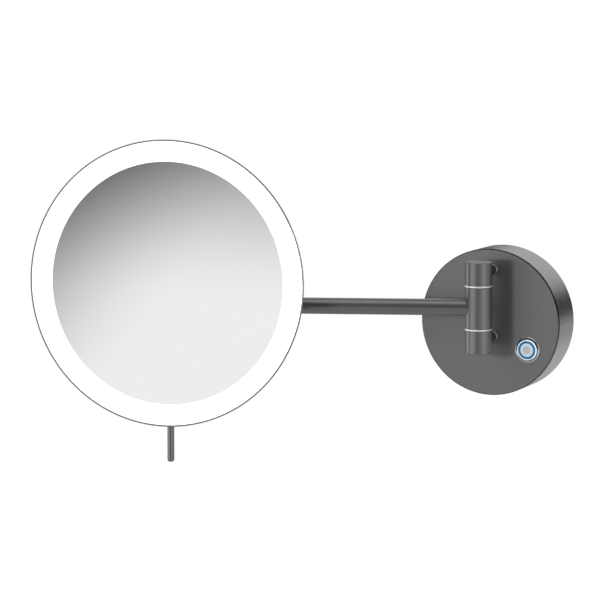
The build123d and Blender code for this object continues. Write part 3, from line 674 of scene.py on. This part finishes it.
def make_button_finishes(colours):
    """Pale rim with a painted glow, blue light ring and grey centre of the push button."""
    place = button_place()
    # Painted glow: the rim is no lamp, yet its own light makes it shine pale.
    grained(
        "cap_rim", (0.55, 0.60, 0.63), 0.3, 0.2, spread=0.02, uneven=0.03, grains=4200, bump=0.02,
        emission_color=(0.60, 0.66, 0.72, 1), emission_strength=1.0)

    blue = Vector(colours.button_light)
    tree, shader = grained(
        "blue_light", 0.3 * blue, 0.0, 0.2, spread=0.04, uneven=0.04, grains=3800, bump=0.02,
        specular_ior_level=0.2)
    give_light(tree, shader, banded(tree, axis_distance(tree, place), [
        (0.0042, (0.42, 0.58, 0.72)),
        (0.0046, (0.34, 0.50, 0.66)),
        (0.0052, 0.62 * blue),
        (0.0062, 0.62 * blue),
        (0.0066, 1.2 * blue),
    ]))

    tree, shader = grained(
        "cap_grey", (0.40, 0.40, 0.41), 0.25, 0.32, spread=0.03, uneven=0.04, grains=3600, bump=0.03)
    give_light(tree, shader, banded(tree, axis_distance(tree, place), [
        (0.0, (0.17, 0.14, 0.16)),
        (0.0022, (0.16, 0.16, 0.17)),
        (0.0032, (0.22, 0.28, 0.30)),
        (0.0043, (0.32, 0.46, 0.56)),
    ]))


# Pieces and stage


class MIRROR_OT_finishes(bpy.types.Operator):
    """Make the finishes and give every CAD piece its own"""

    bl_idname = "mirror.finishes"
    bl_label = "Finishes"

    def execute(self, context):
        make_finishes(context.scene.shaving_mirror)
        for name, piece in NODES.items():
            coat(piece, OWN_FINISH.get(name, SLOTS[name]))
        return {"FINISHED"}


class MIRROR_OT_glass(bpy.types.Operator):
    """Concave mirror glass with a ground edge"""

    bl_idname = "mirror.glass"
    bl_label = "Mirror glass"

    def execute(self, context):
        head = context.scene.shaving_mirror.head
        radius = glass_radius(head)
        edge = head.front - head.ring_recess - head.ring_thickness - FREE_GAP
        curve = head.glass_curve
        centre = edge + sqrt(curve ** 2 - radius ** 2)
        ground = 0.0003
        rows = 48
        face = [radius * row / rows for row in range(rows)] + [radius - ground]
        front = [(r, centre - sqrt(curve ** 2 - r ** 2)) for r in face]
        back_curve = curve + head.glass_thickness
        back = [(r, centre - sqrt(back_curve ** 2 - r ** 2)) for r in reversed(face)]
        side = [(radius, front[-1][1] - ground), (radius, back[0][1] + ground)]
        outline = front + side + back
        piece = turned("concave_glass", outline, head_place(head), head.steps)
        dress(piece, "mirror_head", "mirror_glass", "mirror")
        return {"FINISHED"}


class MIRROR_OT_lit_ring(bpy.types.Operator):
    """Frosted ring round the glass, sloping down to it inside"""

    bl_idname = "mirror.lit_ring"
    bl_label = "Lit ring"

    def execute(self, context):
        head = context.scene.shaving_mirror.head
        outer = head.outer_radius - head.rim - FREE_GAP
        inner = head.outer_radius - head.rim - head.ring_width
        top = head.front - head.ring_recess
        low = top - head.ring_thickness
        slope = 0.0022
        back_chamfer = 0.0022
        edge = 0.0002
        waist = 0.3 * slope
        outline = [
            (inner, low),
            (outer - back_chamfer, low),
            (outer, low + back_chamfer),
            (outer, top - edge),
            (outer - edge, top),
            (inner + slope, top),
            (inner + waist, top - waist),
            (inner, top - slope),
            (inner, low),
        ]
        piece = turned("frosted_ring", outline, head_place(head), head.steps)
        dress(piece, "mirror_head", "lit_ring", "lit")
        return {"FINISHED"}


class MIRROR_OT_bright_rings(bpy.types.Operator):
    """Bright rings between the hinge's knuckles and under the head's swivel"""

    bl_idname = "mirror.bright_rings"
    bl_label = "Bright rings"

    def execute(self, context):
        low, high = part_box("hinge_rings")
        swivel_low, swivel_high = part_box("swivel_ring")
        thickness = swivel_high.z - swivel_low.z
        hinge_bore = 0.00506
        swivel_bore = 0.00402
        radius = disc_radius("hinge_rings")
        for name, height in (("upper_hinge_ring", high.z - thickness), ("lower_hinge_ring", low.z)):
            piece = self.ring(name, (low + high) / 2, height, radius, hinge_bore, thickness)
            dress(piece, "wall_rose", "hinge_rings", "bright")
        piece = self.ring(
            "swivel_bright_ring", (swivel_low + swivel_high) / 2, swivel_low.z, disc_radius("swivel_ring"),
            swivel_bore, thickness)
        dress(piece, "swivel", "swivel_ring", "bright")
        return {"FINISHED"}

    def ring(self, name, middle, height, radius, bore, thickness):
        outline = [(bore, 0), (radius, 0), (radius, thickness), (bore, thickness), (bore, 0)]
        place = Matrix.Translation((middle.x, middle.y, height))
        rounding = 0.12 * thickness
        return turned(name, outline, place, FINE_STEPS, rounding)


class MIRROR_OT_bezel(bpy.types.Operator):
    """Bezel round the push button, sloping to a bright round edge"""

    bl_idname = "mirror.bezel"
    bl_label = "Button bezel"

    def execute(self, context):
        low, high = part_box("button_bezel")
        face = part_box("rose_face")[0].y
        middle = (low + high) / 2
        flange = disc_radius("button_bezel")
        bore_share, thread_share = 0.79, 0.935
        bore = bore_share * flange
        thread = thread_share * flange
        top = face - low.y
        back = face - high.y
        slope = radians(18)
        edge = BEZEL_EDGE
        lip = 0.0002
        round_radius = flange - edge
        round_height = top + (sin(slope) * (bore - round_radius) - edge) / cos(slope)
        steps = 9
        turns = [step * (pi / 2 - slope) / steps for step in range(steps + 1)]
        outline = [(bore, back), (thread, back), (thread, 0), (flange, 0)]
        outline += [(round_radius + edge * cos(turn), round_height + edge * sin(turn)) for turn in turns]
        outline += [(bore + lip, top - lip * sin(slope)), (bore, top - lip), (bore, back)]
        place = Matrix.Translation((middle.x, face, middle.z)) @ Matrix.Rotation(pi / 2, 4, "X")
        piece = turned("sloped_bezel", outline, place, FINE_STEPS)
        dress(piece, "wall_rose", "button_bezel", "polished")
        return {"FINISHED"}


class MIRROR_OT_screws(bpy.types.Operator):
    """Socket screws on the back of the head and on its yoke"""

    bl_idname = "mirror.screws"
    bl_label = "Screws"

    def execute(self, context):
        head = context.scene.shaving_mirror.head
        place = head_place(head)
        small = {"head_radius": 0.00275, "head_height": 0.0016, "shank": 0.0015, "key": 0.002}
        large = {"head_radius": 0.0056, "head_height": 0.0025, "shank": 0.003, "key": 0.004}
        turned_over = Matrix.Rotation(pi, 4, "X")

        # Four round the yoke's foot.
        yoke_face = 0.017
        across, up = 0.35 * yoke_face, 0.7 * yoke_face
        spots = [(a * across, b * up) for a in (1, -1) for b in (1, -1)]
        self.screws("yoke_screw", "yoke_screws", [
            place @ Matrix.Translation((x, y, yoke_face)) @ turned_over for x, y in spots
        ], length=0.0045, **small)

        # Three on a ring in the shell's back.
        ring = 0.52 * head.outer_radius
        shell_face = 0.0195
        self.screws("shell_screw", "shell_screws", [
            place @ Matrix.Rotation(radians(angle), 4, "Z") @ Matrix.Translation((ring, 0, shell_face))
            @ turned_over for angle in (30, 150, 270)
        ], length=0.0057, **small)

        # One through each of the yoke's ears.
        ear = 0.01235
        self.screws("tilt_screw", "tilt_screws", [
            place @ Matrix.Translation((side * ear, 0, 0)) @ Matrix.Rotation(side * pi / 2, 4, "Y")
            for side in (1, -1)
        ], length=0.0084, **large)
        return {"FINISHED"}

    def screws(self, name, node, places, head_radius, head_height, shank, length, key):
        names = [f"{name}_{number + 1}" for number in range(len(places))]
        first = socket_screw(names[0], head_radius, head_height, shank, length, key)
        for piece in copies(first, places, names):
            dress(piece, "mirror_head", node, SLOTS[node])


# What polished surfaces see round the mirror: the level of each soft box, and its soft sides as an angle and
# the degrees where the side is dark and where it is full. A turn of 0 is straight in front of the wall and
# turns grow to the right, a rise is up, away is a turn to either side, and slant climbs to the upper left.
SOFT_BOXES = (
    (0.91, (("turn", -42, -30), ("turn", 7, 2.5), ("rise", 24, 12), ("rise", -21.6, -0.7),
            ("slant", -15.8, 6.4))),
    (0.88, (("turn", -125, -98), ("turn", -21, -32), ("rise", 24, 12), ("rise", -34, -20))),
    (0.74, (("turn", 38, 54), ("turn", 104, 84), ("rise", -34, -20), ("rise", 45, 30))),
    (0.90, (("rise", 18, 84), ("away", 140, 100))),
    (0.58, (("turn", 12, 19), ("rise", 0, -8))),
    (0.55, (("rise", -6, -26), ("away", 140, 100))),
    (0.88, (("away", 112, 140), ("rise", 5, 18), ("rise", 66, 48))),
    (0.83, (("turn", 112, 140), ("rise", -2, -22))),
    (0.83, (("turn", -150, -170), ("rise", -2, -22))),
    (0.29, (("turn", 80, 96), ("rise", -1, -6))),
    (0.05, ()),
)
SLANT = radians(50.4)

# Soft lamps: where each stands, what it is turned to, and its width and height.
LAMPS = {
    "key": {"place": (-0.11, -0.555, 0.0685), "aim": (0, -0.055, 0), "size": (0.067, 0.058)},
    "side": {"place": (-0.090, -0.155, 0.045), "aim": (-0.02, -0.03, 0.01), "size": (0.06, 0.06)},
}


class MIRROR_OT_stage(bpy.types.Operator):
    """Camera, floor, soft surroundings and lamps"""

    bl_idname = "mirror.stage"
    bl_label = "Stage"

    def execute(self, context):
        studio = context.scene.shaving_mirror.studio
        self.camera(studio)
        self.floor(studio)
        self.surroundings(context.scene, studio)
        self.lamp("key", studio.key_power, **LAMPS["key"])
        self.lamp("side", studio.side_power, **LAMPS["side"])
        context.scene.view_settings.view_transform = "Standard"
        return {"FINISHED"}

    def camera(self, studio):
        ahead = Vector((
            -sin(studio.camera_turn) * cos(studio.camera_dip),
            cos(studio.camera_turn) * cos(studio.camera_dip),
            -sin(studio.camera_dip),
        ))
        right = Vector((cos(studio.camera_turn), sin(studio.camera_turn), 0))
        down = ahead.cross(right)
        rolled_right = cos(studio.camera_roll) * right - sin(studio.camera_roll) * down
        rolled_down = sin(studio.camera_roll) * right + cos(studio.camera_roll) * down
        data = bpy.data.cameras.new("camera")
        data.sensor_width = SENSOR
        data.lens = studio.lens
        camera = bpy.data.objects.new("camera", data)
        bpy.context.scene.collection.objects.link(camera)
        turn = Matrix((rolled_right, -rolled_down, -ahead)).transposed().to_4x4()
        camera.matrix_world = Matrix.Translation(studio.camera_place) @ turn
        bpy.context.scene.camera = camera

    def floor(self, studio):
        """Plain pale disc that fades out; its own light is for the camera alone."""
        base, pale, roughness = 0.86, 0.5, 0.8
        fade_start, fade_end = 0.55 * studio.floor_radius, 0.98 * studio.floor_radius
        clear_selection()
        bpy.ops.mesh.primitive_circle_add(
            vertices=FINE_STEPS, radius=studio.floor_radius, fill_type="NGON",
            location=(0, 0, studio.floor_level))
        floor = bpy.context.object
        floor.name = "floor"
        bpy.ops.object.transform_apply(location=True, rotation=True, scale=True)
        tree, shader = blank("pale_floor")
        shader.inputs["Base Color"].default_value = (base, base, base, 1)
        shader.inputs["Roughness"].default_value = roughness
        path = tree.nodes.new("ShaderNodeLightPath")
        give_light(tree, shader, math_of(tree, "MULTIPLY", path.outputs["Is Camera Ray"], pale))
        fade = shaded(tree, axis_distance(tree, Matrix()), [
            (0.0, 0.0), (fade_start, 0.0), (fade_end, 1.0), (studio.floor_radius, 1.0)])
        clear = tree.nodes.new("ShaderNodeBsdfTransparent")
        mix = tree.nodes.new("ShaderNodeMixShader")
        tree.links.new(fade, mix.inputs["Fac"])
        tree.links.new(shader.outputs["BSDF"], mix.inputs[1])
        tree.links.new(clear.outputs["BSDF"], mix.inputs[2])
        tree.links.new(mix.outputs["Shader"], tree.nodes["Material Output"].inputs["Surface"])
        coat(floor, "pale_floor")

    def surroundings(self, scene, studio):
        """White to the camera, pale soft boxes with darker gaps to shiny surfaces, and plain fill light."""
        world = bpy.data.worlds.new("studio")
        scene.world = world
        world.use_nodes = True
        tree = world.node_tree
        tree.nodes.clear()
        coordinates = tree.nodes.new("ShaderNodeTexCoord")
        parts = tree.nodes.new("ShaderNodeSeparateXYZ")
        tree.links.new(coordinates.outputs["Generated"], parts.inputs["Vector"])
        forward = math_of(tree, "MULTIPLY", parts.outputs["Y"], -1.0)
        turn = math_of(tree, "DEGREES", math_of(tree, "ARCTAN2", parts.outputs["X"], forward))
        rise = math_of(tree, "DEGREES", math_of(tree, "ARCSINE", parts.outputs["Z"]))
        climb = math_of(tree, "MULTIPLY", rise, cos(SLANT))
        slant = math_of(tree, "SUBTRACT", climb, math_of(tree, "MULTIPLY", turn, sin(SLANT)))
        angles = {"turn": turn, "rise": rise, "away": math_of(tree, "ABSOLUTE", turn), "slant": slant}
        level = None
        for box_level, sides in SOFT_BOXES:
            light = self.soft_box(tree, angles, box_level, sides)
            level = light if level is None else math_of(tree, "MAXIMUM", level, light)
        boxes = tree.nodes.new("ShaderNodeBackground")
        tree.links.new(level, boxes.inputs["Color"])
        fill = tree.nodes.new("ShaderNodeBackground")
        fill.inputs["Strength"].default_value = studio.fill
        plain = tree.nodes.new("ShaderNodeBackground")
        for shader in (fill, plain):
            shader.inputs["Color"].default_value = (1, 1, 1, 1)
        path = tree.nodes.new("ShaderNodeLightPath")
        seen = math_of(tree, "MAXIMUM", path.outputs["Is Camera Ray"], path.outputs["Is Transmission Ray"])
        shine = self.mixed(tree, path.outputs["Is Glossy Ray"], fill, boxes)
        end = tree.nodes.new("ShaderNodeOutputWorld")
        tree.links.new(self.mixed(tree, seen, shine.node, plain), end.inputs["Surface"])

    def mixed(self, tree, share, first, second):
        """One shader, or the other where the share is 1."""
        mix = tree.nodes.new("ShaderNodeMixShader")
        tree.links.new(share, mix.inputs["Fac"])
        tree.links.new(first.outputs[0], mix.inputs[1])
        tree.links.new(second.outputs[0], mix.inputs[2])
        return mix.outputs["Shader"]

    def soft_box(self, tree, angles, level, sides):
        """Light of one soft box: full inside its sides, fading out over its soft edges."""
        light = level
        for angle, dark, full in sides:
            side = node_of(tree, "ShaderNodeMapRange", interpolation_type="SMOOTHSTEP")
            side.inputs["From Min"].default_value = dark
            side.inputs["From Max"].default_value = full
            tree.links.new(angles[angle], side.inputs["Value"])
            light = math_of(tree, "MULTIPLY", side.outputs["Result"], light)
        return light

    def lamp(self, name, power, place, aim, size):
        """Soft lamp that throws light and shadow but isn't seen in shiny surfaces."""
        data = bpy.data.lights.new(name, "AREA")
        data.shape = "RECTANGLE"
        data.size, data.size_y = size
        data.energy = power
        lamp = bpy.data.objects.new(name, data)
        bpy.context.scene.collection.objects.link(lamp)
        lamp.location = place
        lamp.rotation_euler = (Vector(aim) - Vector(place)).to_track_quat("-Z", "Y").to_euler()
        lamp.visible_camera = False
        lamp.visible_glossy = False


STEPS = (
    MIRROR_OT_finishes,
    MIRROR_OT_glass,
    MIRROR_OT_lit_ring,
    MIRROR_OT_bright_rings,
    MIRROR_OT_bezel,
    MIRROR_OT_screws,
    MIRROR_OT_stage,
)


class MIRROR_PT_panel(bpy.types.Panel):
    """Steps of the shaving mirror, in order"""

    bl_label = "Shaving mirror"
    bl_idname = "MIRROR_PT_panel"
    bl_space_type = "VIEW_3D"
    bl_region_type = "UI"
    bl_category = "Mirror"

    def draw(self, context):
        for step in STEPS:
            self.layout.operator(step.bl_idname)
        settings = context.scene.shaving_mirror
        for group in (settings.head, settings.colours, settings.studio):
            box = self.layout.box()
            for name in group.__annotations__:
                box.prop(group, name)


CLASSES = (HeadSizes, FinishColours, StudioSettings, ShavingMirror, *STEPS, MIRROR_PT_panel)


def register():
    for made in CLASSES:
        bpy.utils.register_class(made)
    bpy.types.Scene.shaving_mirror = PointerProperty(type=ShavingMirror)


def unregister():
    del bpy.types.Scene.shaving_mirror
    for made in reversed(CLASSES):
        bpy.utils.unregister_class(made)


def main():
    register()
    bpy.ops.mirror.finishes()
    bpy.ops.mirror.glass()
    bpy.ops.mirror.lit_ring()
    bpy.ops.mirror.bright_rings()
    bpy.ops.mirror.bezel()
    bpy.ops.mirror.screws()
    bpy.ops.mirror.stage()


if __name__ == "__main__":
    main()
